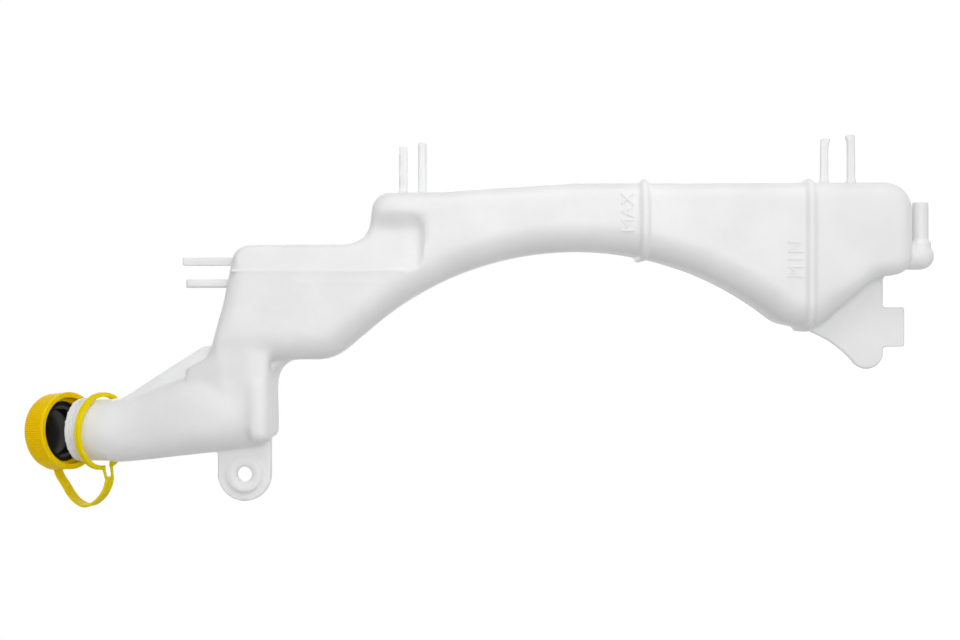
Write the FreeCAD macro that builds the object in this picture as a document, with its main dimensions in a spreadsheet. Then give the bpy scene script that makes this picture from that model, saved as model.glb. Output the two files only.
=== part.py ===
import FreeCAD, Part
import math
import os

import Sketcher

# Coolant expansion tank for a car's engine bay, as it is fixed in the car.
# Z is up, X points away from the fan and Y points to the rear half of the shell.
# The origin is the centre of the bolt hole in the ear, on the parting plane.

Vector = FreeCAD.Vector
Rotation = FreeCAD.Rotation
Placement = FreeCAD.Placement

doc = FreeCAD.newDocument("ExpansionTank")
sizes = doc.addObject("Spreadsheet::Sheet", "Sizes")


def add_sizes(group, values):
    """Writes one group of driving sizes into the sheet, with an alias for each."""
    row = add_sizes.next_row
    sizes.set("A%d" % row, group)
    for alias, number in values.items():
        row += 1
        sizes.set("A%d" % row, alias)
        sizes.set("B%d" % row, str(number))
        sizes.setAlias("B%d" % row, alias)
    add_sizes.next_row = row + 1


add_sizes.next_row = 1
# Main sizes: from the bolt hole to the long side and to the low end, and the shell's own
side_x = 193.3
low_reach = 440.6
body_width = 44.5
front_depth = 26
rear_depth = 41
wall = 2.5
add_sizes("Main sizes", {
    "side_x": side_x,
    "low_reach": low_reach,
    "body_width": body_width,
    "front_depth": front_depth,
    "rear_depth": rear_depth,
    "wall": wall,
})
add_sizes("Shell", {
    "front_round": 11,
    "under_round": 18,
    "rear_round": 12,
})
add_sizes("Upper chamber", {
    "crown_x": "=side_x - 41.5",
    "crown_z": 4.5,
    "crown_round": 12,
    "heel_x": 76.5,
    "heel_z": 23.7,
    "waist_x": "=side_x - 81.3",
    "waist_z": 12.3,
    "waist_round": 80,
    "hip_round": 27,
    "step_x": "=side_x - 40.7",
    "step_z": -84.8,
    "step_round": 17,
})
add_sizes("Fan arch", {
    "arch_radius": "=0.4796 * low_reach",
    "arch_x": "=side_x - body_width - arch_radius",
    "arch_z": "=-low_reach / 2 - 1.4",
    "arch_start": 40.2,
    "arch_end": 39.5,
    "arch_end_round": 22,
})
add_sizes("Long side and lower chamber", {
    "shoulder_x": "=side_x - 7.1",
    "shoulder_round": 12.5,
    "neckline_x": "=side_x - 6.7",
    "neckline_z": -130,
    "belly_x": "=side_x - 1",
    "belly_z": "=2.3 - low_reach / 2",
    "belly_round": 160,
    "foot_x": "=side_x",
    "foot_z": "=-low_reach",
    "foot_round": 18,
    "toe_x": "=side_x - 59.8",
    "toe_round": 12.5,
    "drain_x": "=side_x - 62.8",
    "drain_z": "=24.1 - low_reach",
    "drain_round": 16,
    "sump_x": "=side_x - 97.6",
    "sump_z": "=62.1 - low_reach",
    "sump_round": 20,
})
add_sizes("Recess", {
    "crease_x": 133.8,
    "recess_deep_x": 162.5,
    "recess_top_x": 173,
    "recess_depth": 8,
    "recess_end_z": -120,
    "recess_corner": 5,
})
add_sizes("Filler box", {
    "box_bottom_x": 22,
    "box_top_x": 84,
    "box_right_z": -18.7,
    "box_left_z": -6,
    "box_front": 25,
    "box_rear": 40,
    "box_corner": 6,
    "box_round": 7,
    "box_flare": 17,
    "box_slope_x": 62,
    "box_valley_x": 74,
})
add_sizes("Filler neck", {
    "neck_x": 28.3,
    "mouth_y": 19,
    "mouth_z": 114.4,
    "neck_tilt": 16.5,
    "lip_radius": 21.1,
    "lip_width": 4.2,
    "groove_radius": 19.9,
    "groove_width": 1.8,
    "bead_width": 3,
    "seat_radius": 20.7,
    "seat_width": 12,
    "neck_radius": 21.2,
    "neck_length": 27,
})
add_sizes("Funnel, at its stations from the neck to the box", {
    "funnel_root": 21.7,
    "funnel_1_z": 60,
    "funnel_1_low": 9.5,
    "funnel_1_high": 58,
    "funnel_1_front": 14,
    "funnel_1_rear": 34,
    "funnel_2_z": 36,
    "funnel_2_low": 12.4,
    "funnel_2_high": 66.5,
    "funnel_2_front": 20,
    "funnel_2_rear": 38,
    "funnel_3_z": 12,
    "funnel_3_low": 14.9,
    "funnel_3_high": 71.5,
    "funnel_3_front": 22,
    "funnel_3_rear": 40,
    "funnel_4_z": -12,
    "funnel_4_low": 18,
    "funnel_4_high": 74,
    "funnel_4_front": 20,
    "funnel_4_rear": 39.5,
    "funnel_square": 2.6,
})
add_sizes("Plates in the parting plane", {
    "web_thick": 3.2,
    "web_tip_x": 50.5,
    "web_tip_z": 80.6,
    "web_top_x": 84.8,
    "web_top_z": 27.5,
    "web_round": 9,
    "ear_thick": 6,
    "ear_width": 35.6,
    "boss_thick": 11,
    "boss_diameter": 24,
    "bolt_hole": 10.2,
    "tab_thick": 4.4,
    "tab_toe_x": "=side_x - 112.1",
    "tab_toe_z": "=26.6 - low_reach",
    "tab_toe_radius": 11.1,
    "tab_edge_x": "=side_x - 161.5",
    "tab_edge_z": "=87.1 - low_reach",
    "tab_root_angle": 20.3,
    "lug_end_z": "=1.2 - low_reach",
    "lug_bottom_x": "=side_x - 108.5",
    "lug_top_x": "=side_x - 82.5",
})
add_sizes("Clip fingers", {
    "finger_width": 5.3,
    "finger_thick": 4.4,
    "finger_hook": 1.4,
    "top_clip_x": "=side_x - 59.2",
    "top_clip_gap": 9.3,
    "top_clip_reach": 41.3,
    "mid_clip_z": -111.9,
    "mid_clip_gap": 7.4,
    "mid_clip_reach": "=side_x + 27.2",
    "low_clip_z": "=45.6 - low_reach",
    "low_clip_gap": 12.6,
    "low_clip_reach": "=side_x + 32.7",
    "clip_stagger": 2.5,
})
add_sizes("Level ribs", {
    "rib_radius": 3,
    "max_z": "=-0.6 * low_reach - 0.1",
    "min_z": "=67.8 - low_reach",
})
add_sizes("Hose nipple", {
    "nipple_x": "=side_x - 48.2",
    "nipple_z": "=-low_reach - 9.7",
    "nipple_radius": 5.35,
    "nipple_bore": 3.2,
    "nipple_reach": "=side_x - 12.3",
    "elbow_radius": 8.8,
    "collar_radius": 7,
    "collar_stop": 0.6,
})
add_sizes("Cap", {
    "cap_x": 27.3,
    "cap_y": 24,
    "cap_z": 121.7,
    "cap_yaw": 32.7,
    "cap_pitch": 5,
    "cap_radius": 26,
    "cap_height": 19.5,
    "cap_rim_radius": 26.3,
    "cap_rim_width": 2.6,
    "cap_bore": 22.4,
    "cap_top": 3,
    "cap_round": 3.5,
    "snap_radius": 20.5,
    "snap_height": 6.7,
    "snap_width": 1.4,
    "insert_fit": 0.1,
    "insert_thick": 2.5,
    "plug_radius": 17.6,
    "plug_wall": 2,
    "plug_height": 5,
    "seal_thick": 2,
    "knob_radius": 4.7,
    "knob_head": 6.1,
    "knob_head_thick": 1.5,
})
add_sizes("Tether", {
    "ring_drop": 0.7,
    "ring_back": 17,
    "ring_tilt": 28,
    "ring_bore": 23.2,
    "ring_thick": 3,
    "ring_width": 3.9,
    "strap_width": 8.8,
    "strap_thick": 1.8,
    "strap_lift": 1,
    "root_shift": 5,
    "root_width": 11.7,
    "root_slot": 8.6,
    "eye_radius": 9,
    "eye_clearance": 0.3,
})
add_sizes("Strap, along its path from the ring to the back of the cap", {
    "strap_1_run": 0,
    "strap_1_drop": 24.2,
    "strap_2_run": -1.8,
    "strap_2_drop": 32.7,
    "strap_3_run": 2.8,
    "strap_3_drop": 43.5,
    "strap_4_run": 8.4,
    "strap_4_drop": 48.6,
    "strap_5_run": 15.1,
    "strap_5_drop": 51.1,
    "strap_6_run": 23,
    "strap_6_drop": 48,
    "strap_7_run": 30.2,
    "strap_7_drop": 40,
    "strap_8_run": 34.6,
    "strap_8_drop": 34.6,
})
add_sizes("Strap, from the edge of the cap's back", {
    "strap_9_run": -7,
    "strap_9_drop": 4,
    "strap_10_run": -1.5,
    "strap_10_drop": 2.6,
})
doc.recompute()


def size(alias):
    """Reads one size from the sheet."""
    return float(sizes.get(alias))


def value_of(expression):
    """Works an expression out from the sheet, as the sketches do."""
    return float(sizes.evalExpression(expression))


def fix_point(sketch, side, point, expressions, spot, axes="XY"):
    """Places one point of a sketch by its distances from the sketch's origin."""
    for axis, expression, distance in zip("XY", expressions, (spot.x, spot.y)):
        if axis in axes:
            kind = "Distance" + axis
            number = sketch.addConstraint(Sketcher.Constraint(kind, -1, 1, side, point, distance))
            sketch.setExpression("Constraints[%d]" % number, expression)


def draw_outline(sketch, corners, arcs=None):
    """Draws a closed outline whose corners are placed by expressions.

    arcs gives each side that is an arc, by the number of its first corner: its centre,
    whether it turns left, and the axis that places its last corner.
    """
    arcs = arcs or {}
    spots = [Vector(value_of(x), value_of(y), 0) for x, y in corners]
    count = len(spots)
    ends = {}
    for i in range(count):
        start, end = spots[i], spots[(i + 1) % count]
        ends[i] = (1, 2)
        if i not in arcs:
            sketch.addGeometry(Part.LineSegment(start, end), False)
            continue
        centre_x, centre_y, left_turn, last_axis = arcs[i]
        centre = Vector(value_of(centre_x), value_of(centre_y), 0)
        circle = Part.Circle(centre, Vector(0, 0, 1), (start - centre).Length)
        first = math.atan2(start.y - centre.y, start.x - centre.x)
        last = math.atan2(end.y - centre.y, end.x - centre.x)
        if not left_turn:
            ends[i] = (2, 1)
            first, last = last, first
        sketch.addGeometry(Part.ArcOfCircle(circle, first, last), False)
    for i in range(count):
        following = (i + 1) % count
        join = Sketcher.Constraint("Coincident", i, ends[i][1], following, ends[following][0])
        sketch.addConstraint(join)
    for i in range(count):
        before = (i - 1) % count
        axes = arcs[before][3] if before in arcs else "XY"
        fix_point(sketch, i, ends[i][0], corners[i], spots[i], axes)
    for i, (centre_x, centre_y, left_turn, last_axis) in arcs.items():
        centre = Vector(value_of(centre_x), value_of(centre_y), 0)
        fix_point(sketch, i, 3, (centre_x, centre_y), centre)


def edges_where(shape, test):
    """Gives the numbers of a shape's edges that pass a test."""
    return [i + 1 for i, edge in enumerate(shape.Edges) if test(edge)]


def middle(edge):
    """Gives the point half way along an edge."""
    return edge.valueAt((edge.FirstParameter + edge.LastParameter) / 2)


def lies_at(edge, y):
    """Tells whether an edge lies in the plane at a depth."""
    box = edge.BoundBox
    return abs(box.YMin - y) < 0.01 and abs(box.YMax - y) < 0.01


def round_edges(label, base, edges):
    """Rounds edges of an object, each given by its number and its two end radii."""
    fillet = doc.addObject("Part::Fillet", label)
    fillet.Base = base
    fillet.Edges = edges
    doc.recompute()
    return fillet


def rounded_block(label, outline, inset, corner_rounds, front, rear, front_round, rear_round,
                  rim_test=None):
    """Makes a block with rounded corners and rims from an outline, or the space inside it.

    corner_rounds gives the place, the radius and the hollowness of each rounded corner,
    front_round and rear_round give the rim's radius at a point, and rim_test tells
    whether the rim is rounded there.
    """
    base = outline
    if inset:
        base = doc.addObject("Part::Offset2D", label + "_inset")
        base.Source = outline
        base.Join = "Intersection"
        base.setExpression("Value", "-Sizes.wall")
    block = doc.addObject("Part::Extrusion", label + "_block")
    block.Base = base
    block.DirMode = "Custom"
    block.Dir = Vector(0, 1, 0)
    block.Solid = True
    less_wall = " - Sizes.wall" if inset else ""
    block.setExpression("LengthFwd", rear + less_wall)
    block.setExpression("LengthRev", front + less_wall)
    doc.recompute()
    wall = size("wall") if inset else 0
    rounds = []
    for x, z, radius, hollow in corner_rounds:
        spot = Vector(x, 0, z)
        reach = [(edge.distToShape(Part.Vertex(spot))[0], i + 1)
                 for i, edge in enumerate(block.Shape.Edges)
                 if abs(edge.BoundBox.YLength - block.Shape.BoundBox.YLength) < 0.01]
        corner_radius = radius + (wall if hollow else -wall)
        rounds.append((min(reach)[1], corner_radius, corner_radius))
    cornered = round_edges(label + "_corners", block, rounds)
    front_y = cornered.Shape.BoundBox.YMin
    rear_y = cornered.Shape.BoundBox.YMax
    rims = []
    for number, edge in enumerate(cornered.Shape.Edges):
        for y, radius_at in ((front_y, front_round), (rear_y, rear_round)):
            if lies_at(edge, y) and (rim_test is None or rim_test(middle(edge))):
                first = radius_at(edge.valueAt(edge.FirstParameter)) - wall
                last = radius_at(edge.valueAt(edge.LastParameter)) - wall
                rims.append((number + 1, first, last))
    return round_edges(label, cornered, rims)


def block_pair(label, *shape_of_block):
    """Makes a block and the space inside it."""
    return [rounded_block(label + suffix, shape_of_block[0], inset, *shape_of_block[1:])
            for suffix, inset in (("", False), ("_space", True))]


def side_view_sketch(name):
    """Makes a sketch in the parting plane, with X to the right and Z up."""
    sketch = doc.addObject("Sketcher::SketchObject", name)
    sketch.Placement = Placement(Vector(), Rotation(Vector(1, 0, 0), 90))
    return sketch


# Outline of both chambers and the arch between them
arch_start = ("Sizes.arch_x + Sizes.arch_radius * cos(Sizes.arch_start)",
              "Sizes.arch_z + Sizes.arch_radius * sin(Sizes.arch_start)")
arch_end = ("Sizes.arch_x + Sizes.arch_radius * cos(Sizes.arch_end)",
            "Sizes.arch_z - Sizes.arch_radius * sin(Sizes.arch_end)")
hip = ("Sizes.heel_x",
       "%s + (%s - Sizes.heel_x) / tan(Sizes.arch_start)" % (arch_start[1], arch_start[0]))
chamber_corners = [
    ("Sizes.crown_x", "Sizes.crown_z"),
    ("Sizes.waist_x", "Sizes.waist_z"),
    ("Sizes.heel_x", "Sizes.heel_z"),
    hip,
    arch_start,
    arch_end,
    ("Sizes.sump_x", "Sizes.sump_z"),
    ("Sizes.drain_x", "Sizes.drain_z"),
    ("Sizes.toe_x", "Sizes.foot_z"),
    ("Sizes.foot_x", "Sizes.foot_z"),
    ("Sizes.belly_x", "Sizes.belly_z"),
    ("Sizes.neckline_x", "Sizes.neckline_z"),
    ("Sizes.shoulder_x", "Sizes.step_z"),
    ("Sizes.step_x", "Sizes.step_z"),
]
chamber_outline = side_view_sketch("chamber_outline")
draw_outline(chamber_outline, chamber_corners, {4: ("Sizes.arch_x", "Sizes.arch_z", False, "Y")})
doc.recompute()

chamber_rounds = []
for number, alias, hollow in (
        (0, "crown_round", False),
        (1, "waist_round", True),
        (3, "hip_round", False),
        (5, "arch_end_round", False),
        (6, "sump_round", False),
        (7, "drain_round", True),
        (8, "toe_round", False),
        (9, "foot_round", False),
        (10, "belly_round", False),
        (11, "belly_round", True),
        (12, "shoulder_round", False),
        (13, "step_round", True)):
    corner = chamber_corners[number]
    chamber_rounds.append((value_of(corner[0]), value_of(corner[1]), size(alias), hollow))
chamber_spots = [Vector(value_of(x), 0, value_of(z)) for x, z in chamber_corners]


def chamber_front_round(point):
    """Gives the front rim's radius: larger on the side towards the fan."""
    flat = Vector(point.x, 0, point.z)
    nearest = min(range(len(chamber_spots)), key=lambda i: (chamber_spots[i] - flat).Length)
    return size("under_round" if 2 <= nearest <= 6 else "front_round")


def same_round(alias):
    """Gives a rule for a rim of one radius."""
    return lambda point: size(alias)


chamber, chamber_space = block_pair(
    "chamber", chamber_outline, chamber_rounds, "Sizes.front_depth", "Sizes.rear_depth",
    chamber_front_round, same_round("rear_round"))


def prism(label, corners, low, length):
    """Makes an upright prism from a plan outline."""
    plan = doc.addObject("Sketcher::SketchObject", label + "_plan")
    draw_outline(plan, corners)
    plan.setExpression("Placement.Base.z", low)
    block = doc.addObject("Part::Extrusion", label)
    block.Base = plan
    block.DirMode = "Custom"
    block.Dir = Vector(0, 0, 1)
    block.Solid = True
    block.setExpression("LengthFwd", length)
    doc.recompute()
    return block


def code_shape(label, shape):
    """Keeps a shape that is worked out in code as an object of the document."""
    thing = doc.addObject("Part::Feature", label)
    thing.Shape = shape
    return thing


def fuse(label, things):
    """Joins objects into one."""
    joined = doc.addObject("Part::MultiFuse", label)
    joined.Shapes = things
    doc.recompute()
    return joined


def cut(label, base, tool):
    """Takes one object away from another."""
    rest = doc.addObject("Part::Cut", label)
    rest.Base = base
    rest.Tool = tool
    doc.recompute()
    return rest


# Sunk field on the front of the upper chamber
def recess(suffix, deeper, radius):
    """Makes the block that is taken out of the shell's front, with soft lower edges."""
    block = prism("recess_block" + suffix, [
        ("Sizes.crease_x", "-Sizes.front_depth" + deeper),
        ("Sizes.recess_deep_x", "Sizes.recess_depth - Sizes.front_depth" + deeper),
        ("Sizes.recess_top_x", "-Sizes.front_depth" + deeper),
        ("Sizes.recess_top_x", "-2 * Sizes.front_depth"),
        ("Sizes.crease_x", "-2 * Sizes.front_depth"),
    ], "Sizes.recess_end_z" + deeper.replace("+", "-"), "2 * Sizes.heel_z - Sizes.recess_end_z")
    end_z = block.Shape.BoundBox.ZMin + 0.01
    soft = edges_where(block.Shape, lambda edge: edge.BoundBox.ZMax < end_z
                       and edge.BoundBox.YLength > 1 and edge.BoundBox.XLength > 1)
    return round_edges("recess" + suffix, block, [(i, radius, radius) for i in soft])


sunk_chamber = cut("sunk_chamber", chamber, recess("", "", size("recess_corner")))
sunk_space = cut("sunk_chamber_space", chamber_space,
                 recess("_space", " + Sizes.wall", size("recess_corner") - size("wall") / 2))


# Bead of eight sides round the shell at each level mark
def level_rib(label, height):
    """Makes a bead round the chamber at a height."""
    section = chamber.Shape.slice(Vector(0, 0, 1), size(height))[0]
    start = section.Edges[0].valueAt(section.Edges[0].FirstParameter)
    along = section.Edges[0].tangentAt(section.Edges[0].FirstParameter)
    across = along.cross(Vector(0, 0, 1))
    corners = []
    for i in range(9):
        angle = math.pi / 4 * (i + 0.5)
        corners.append(start + (across * math.cos(angle) + Vector(0, 0, 1) * math.sin(angle)) * size("rib_radius"))
    return code_shape(label, section.makePipeShell([Part.makePolygon(corners)], True, False))


level_ribs = [level_rib("max_rib", "max_z"), level_rib("min_rib", "min_z")]
doc.recompute()

# Box below the upper chamber, which the funnel runs into
box_outline = side_view_sketch("box_outline")
draw_outline(box_outline, [
    ("Sizes.box_bottom_x", "Sizes.box_left_z"),
    ("Sizes.box_bottom_x", "Sizes.box_right_z"),
    ("Sizes.box_top_x", "Sizes.box_right_z"),
    ("Sizes.box_top_x", "Sizes.box_left_z"),
])
doc.recompute()
box_rounds = [(size("box_bottom_x"), size("box_right_z"), size("box_corner"), False)]
plain_box, plain_box_space = block_pair(
    "plain_box", box_outline, box_rounds, "Sizes.box_front", "Sizes.box_rear",
    same_round("box_round"), same_round("box_round"),
    lambda point: point.x < size("box_top_x") - 3 and point.z < size("box_left_z") - 3)


# Flare in the corner between the box and the upper chamber
flare_x = "Sizes.heel_x - Sizes.box_flare"
flare_z = "Sizes.box_right_z - Sizes.box_flare"
flare_outline = side_view_sketch("flare_outline")
draw_outline(flare_outline, [
    (flare_x, "Sizes.box_right_z"),
    ("Sizes.heel_x", flare_z),
    ("Sizes.box_top_x", flare_z),
    ("Sizes.box_top_x", "Sizes.box_left_z"),
    (flare_x, "Sizes.box_left_z"),
], {0: (flare_x, flare_z, False, "Y")})
flare = doc.addObject("Part::Extrusion", "box_flare")
flare.Base = flare_outline
flare.DirMode = "Custom"
flare.Dir = Vector(0, 1, 0)
flare.Solid = True
flare.setExpression("LengthFwd", "Sizes.box_rear - Sizes.box_round")
flare.setExpression("LengthRev", "Sizes.front_depth - Sizes.under_round")
doc.recompute()


def box_slope(suffix, deeper):
    """Makes the block that slopes the box's front back to the chamber's underside."""
    return prism("box_slope" + suffix, [
        ("Sizes.box_slope_x", "-Sizes.box_front" + deeper),
        ("Sizes.box_valley_x", "Sizes.under_round - Sizes.front_depth" + deeper),
        ("Sizes.box_top_x + Sizes.wall", "Sizes.under_round - Sizes.front_depth" + deeper),
        ("Sizes.box_top_x + Sizes.wall", "-2 * Sizes.box_front"),
        ("Sizes.box_slope_x", "-2 * Sizes.box_front"),
    ], "2 * Sizes.box_right_z", "-3 * Sizes.box_right_z")


filler_box = cut("filler_box", plain_box, box_slope("", ""))
filler_box_space = cut("filler_box_space", plain_box_space, box_slope("_space", " + Sizes.wall"))


# Funnel from the neck to the box
def oval(centre, half_x, half_y, squareness, turn=None):
    """Makes a smooth closed curve between an ellipse and a rectangle."""
    turn = turn or Rotation()
    points = []
    steps = 12
    for i in range(steps):
        angle = 2 * math.pi * i / steps
        across = math.copysign(abs(math.cos(angle)) ** (2 / squareness), math.cos(angle))
        deep = math.copysign(abs(math.sin(angle)) ** (2 / squareness), math.sin(angle))
        points.append(centre + turn.multVec(Vector(half_x * across, half_y * deep, 0)))
    curve = Part.BSplineCurve()
    curve.interpolate(points, PeriodicFlag=True)
    return Part.Wire(curve.toShape())


neck_turn = Rotation(Vector(1, 0, 0), -size("neck_tilt"))
neck_axis = neck_turn.multVec(Vector(0, 0, 1))
mouth = Vector(size("neck_x"), size("mouth_y"), size("mouth_z"))


def funnel(label, inset):
    """Lofts the funnel, or the space inside it."""
    root = size("funnel_root") - inset
    sections = [oval(mouth - neck_axis * size("neck_length"), root, root, 2, neck_turn)]
    for station in (1, 2, 3, 4):
        low, high, front, rear, z = [size("funnel_%d_%s" % (station, side))
                                     for side in ("low", "high", "front", "rear", "z")]
        centre = Vector((low + high) / 2, (rear - front) / 2, z)
        sections.append(oval(centre, (high - low) / 2 - inset, (front + rear) / 2 - inset,
                             size("funnel_square")))
    return code_shape(label, Part.makeLoft(sections, True, False))


funnel_shell = funnel("funnel", 0)
funnel_space = funnel("funnel_space", size("wall"))


# Bodies made of turned or extruded sketches
def origin_plane(body, role):
    """Finds one of a body's own origin planes."""
    return [plane for plane in body.Origin.OriginFeatures if plane.Role == role][0]


def body_sketch(body, name, role):
    """Starts a sketch on one of a body's origin planes."""
    sketch = body.newObject("Sketcher::SketchObject", name)
    sketch.AttachmentSupport = (origin_plane(body, role), [""])
    sketch.MapMode = "FlatFace"
    return sketch


def turned_body(label, profile, place):
    """Turns a profile of radius and height about the body's own Z axis."""
    body = doc.addObject("PartDesign::Body", label)
    sketch = body_sketch(body, label + "_profile", "XZ_Plane")
    draw_outline(sketch, profile)
    turned = body.newObject("PartDesign::Revolution", label + "_turned")
    turned.Profile = sketch
    turned.ReferenceAxis = (sketch, ["V_Axis"])
    turned.Angle = 360
    body.Placement = place
    doc.recompute()
    return body


# Filler neck with its lip, groove, bead and seat for the tether's ring
groove_top = "-Sizes.lip_width"
bead_top = "-Sizes.lip_width - Sizes.groove_width"
seat_top = bead_top + " - Sizes.bead_width"
seat_end = seat_top + " - Sizes.seat_width"
neck_end = "-Sizes.neck_length - Sizes.wall"
neck_place = Placement(mouth, neck_turn)
neck = turned_body("neck", [
    ("Sizes.seat_radius - Sizes.wall", neck_end),
    ("Sizes.neck_radius", neck_end),
    ("Sizes.neck_radius", seat_end + " - Sizes.wall"),
    ("Sizes.seat_radius", seat_end),
    ("Sizes.seat_radius", seat_top),
    ("Sizes.lip_radius", seat_top),
    ("Sizes.lip_radius", bead_top),
    ("Sizes.groove_radius", bead_top),
    ("Sizes.groove_radius", groove_top),
    ("Sizes.lip_radius", groove_top),
    ("Sizes.lip_radius", "0"),
    ("Sizes.seat_radius - Sizes.wall", "0"),
], neck_place)
neck_bore = doc.addObject("Part::Cylinder", "neck_bore")
neck_bore.setExpression("Radius", "Sizes.seat_radius - Sizes.wall")
neck_bore.setExpression("Height", "Sizes.neck_length + 2 * Sizes.wall")
neck_bore.Placement = neck_place.multiply(Placement(Vector(0, 0, value_of(neck_end)), Rotation()))
doc.recompute()


# Flat plates that the mould pinches in the parting plane
def plate(label, corners, thickness, arcs=None, rounds=()):
    """Makes a flat plate about the parting plane, with some corners rounded."""
    outline = side_view_sketch(label + "_outline")
    draw_outline(outline, corners, arcs)
    sheet = doc.addObject("Part::Extrusion", label if not rounds else label + "_sheet")
    sheet.Base = outline
    sheet.DirMode = "Custom"
    sheet.Dir = Vector(0, 1, 0)
    sheet.Symmetric = True
    sheet.Solid = True
    sheet.setExpression("LengthFwd", thickness)
    doc.recompute()
    if not rounds:
        return sheet
    chosen = []
    for x, z, radius in rounds:
        spot = Part.Vertex(Vector(value_of(x), 0, value_of(z)))
        upright = edges_where(sheet.Shape, lambda edge: edge.distToShape(spot)[0] < 0.01
                              and edge.BoundBox.DiagonalLength < 1.01 * edge.BoundBox.YLength)
        chosen += [(number, size(radius), size(radius)) for number in upright]
    return round_edges(label, sheet, chosen)


web = plate("web", [
    ("Sizes.neck_x", "Sizes.web_tip_z"),
    ("Sizes.web_tip_x", "Sizes.web_tip_z"),
    ("Sizes.web_top_x", "Sizes.web_top_z"),
    ("Sizes.web_top_x", "Sizes.box_left_z - Sizes.wall"),
    ("Sizes.neck_x", "Sizes.box_left_z - Sizes.wall"),
], "Sizes.web_thick", rounds=[("Sizes.web_top_x", "Sizes.web_top_z", "web_round")])

half_ear = "Sizes.ear_width / 2"
ear = plate("ear", [
    ("Sizes.box_bottom_x + Sizes.box_round", half_ear),
    ("0", half_ear),
    ("0", "-" + half_ear),
    ("Sizes.box_bottom_x + Sizes.box_round", "-" + half_ear),
], "Sizes.ear_thick", {1: ("0", "0", True, "X")})
boss = doc.addObject("Part::Cylinder", "boss")
boss.setExpression("Radius", "Sizes.boss_diameter / 2")
boss.setExpression("Height", "Sizes.boss_thick")
boss.setExpression("Placement.Base.y", "Sizes.boss_thick / 2")
boss.Placement.Rotation = Rotation(Vector(1, 0, 0), 90)
bolt_hole = doc.addObject("Part::Cylinder", "bolt_hole")
bolt_hole.setExpression("Radius", "Sizes.bolt_hole / 2")
bolt_hole.setExpression("Height", "2 * Sizes.boss_thick")
bolt_hole.setExpression("Placement.Base.y", "Sizes.boss_thick")
bolt_hole.Placement.Rotation = Rotation(Vector(1, 0, 0), 90)

toe_reach = "sqrt((Sizes.tab_toe_x - Sizes.tab_edge_x)^2 + (Sizes.tab_toe_z - Sizes.tab_edge_z)^2)"
edge_share = "(1 - Sizes.tab_toe_radius / %s)" % toe_reach
edge_radius = "(%s - Sizes.tab_toe_radius)" % toe_reach
tab_side = "Sizes.tab_toe_z - Sizes.tab_toe_radius"
tab = plate("tab", [
    ("Sizes.tab_edge_x + %s * cos(Sizes.tab_root_angle)" % edge_radius,
     "Sizes.tab_edge_z - %s * sin(Sizes.tab_root_angle)" % edge_radius),
    ("Sizes.tab_edge_x + (Sizes.tab_toe_x - Sizes.tab_edge_x) * " + edge_share,
     "Sizes.tab_edge_z + (Sizes.tab_toe_z - Sizes.tab_edge_z) * " + edge_share),
    ("Sizes.tab_toe_x", tab_side),
    ("Sizes.lug_bottom_x", tab_side),
    ("Sizes.lug_bottom_x", "Sizes.lug_end_z"),
    ("Sizes.lug_top_x", "Sizes.lug_end_z"),
    ("Sizes.lug_top_x", tab_side),
    ("Sizes.toe_x + Sizes.wall / 2", tab_side),
    ("Sizes.sump_x + Sizes.wall", "Sizes.sump_z + Sizes.wall"),
], "Sizes.tab_thick", {0: ("Sizes.tab_edge_x", "Sizes.tab_edge_z", False, "Y"),
                       1: ("Sizes.tab_toe_x", "Sizes.tab_toe_z", True, "X")})


# Clip fingers that hold the lines which run past the tank
def finger(label, low, high):
    """Makes a straight finger between two opposite corners."""
    return plate(label, [low, (high[0], low[1]), high, (low[0], high[1])], "Sizes.finger_thick")


def clip(name, centre, gap, run_along_x, roots, tips):
    """Makes both fingers of a clip, one on each side of its gap."""
    pair = []
    for side, root, tip in (("-", roots[0], tips[0]), ("+", roots[1], tips[1])):
        inner = "%s %s %s / 2" % (centre, side, gap)
        outer = "%s %s Sizes.finger_width" % (inner, side)
        corners = [(root, inner), (tip, outer)] if run_along_x else [(inner, root), (outer, tip)]
        pair.append(finger("%s_finger_%d" % (name, len(pair) + 1), *corners))
    return pair


fingers = clip("top", "Sizes.top_clip_x", "Sizes.top_clip_gap", False, ("0", "0"),
               ("Sizes.top_clip_reach - Sizes.clip_stagger", "Sizes.top_clip_reach"))
fingers += clip("mid", "Sizes.mid_clip_z", "Sizes.mid_clip_gap", True,
                ("Sizes.shoulder_x - Sizes.wall", "Sizes.shoulder_x - Sizes.wall"),
                ("Sizes.mid_clip_reach", "Sizes.mid_clip_reach - Sizes.clip_stagger"))


def hooked_finger(label, side, tip):
    """Makes a waisted finger whose tip hooks towards its partner."""
    inner = "Sizes.low_clip_z %s Sizes.low_clip_gap / 2" % side
    outer = "%s %s Sizes.finger_width" % (inner, side)
    away = "-" if side == "+" else "+"
    root = "Sizes.belly_x - Sizes.wall"
    waist = "Sizes.belly_x + Sizes.finger_width"
    return plate(label, [
        (root, "%s %s Sizes.finger_hook" % (inner, away)),
        (waist, inner),
        ("%s - Sizes.finger_width" % tip, inner),
        ("%s - Sizes.finger_hook" % tip, "%s %s Sizes.finger_hook" % (inner, away)),
        (tip, "%s %s Sizes.finger_hook / 2" % (inner, away)),
        (tip, outer),
        (waist, outer),
        (root, "%s %s Sizes.finger_hook" % (outer, side)),
    ], "Sizes.finger_thick")


fingers.append(hooked_finger("low_finger_1", "-", "Sizes.low_clip_reach"))
fingers.append(hooked_finger("low_finger_2", "+", "(Sizes.low_clip_reach - Sizes.clip_stagger)"))


# Hose nipple on its elbow at the lower end
def rod(label, radius, length, place):
    """Makes a cylinder of a bound radius and length."""
    cylinder = doc.addObject("Part::Cylinder", label)
    cylinder.setExpression("Radius", radius)
    cylinder.setExpression("Height", length)
    cylinder.Placement = place
    return cylinder


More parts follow.
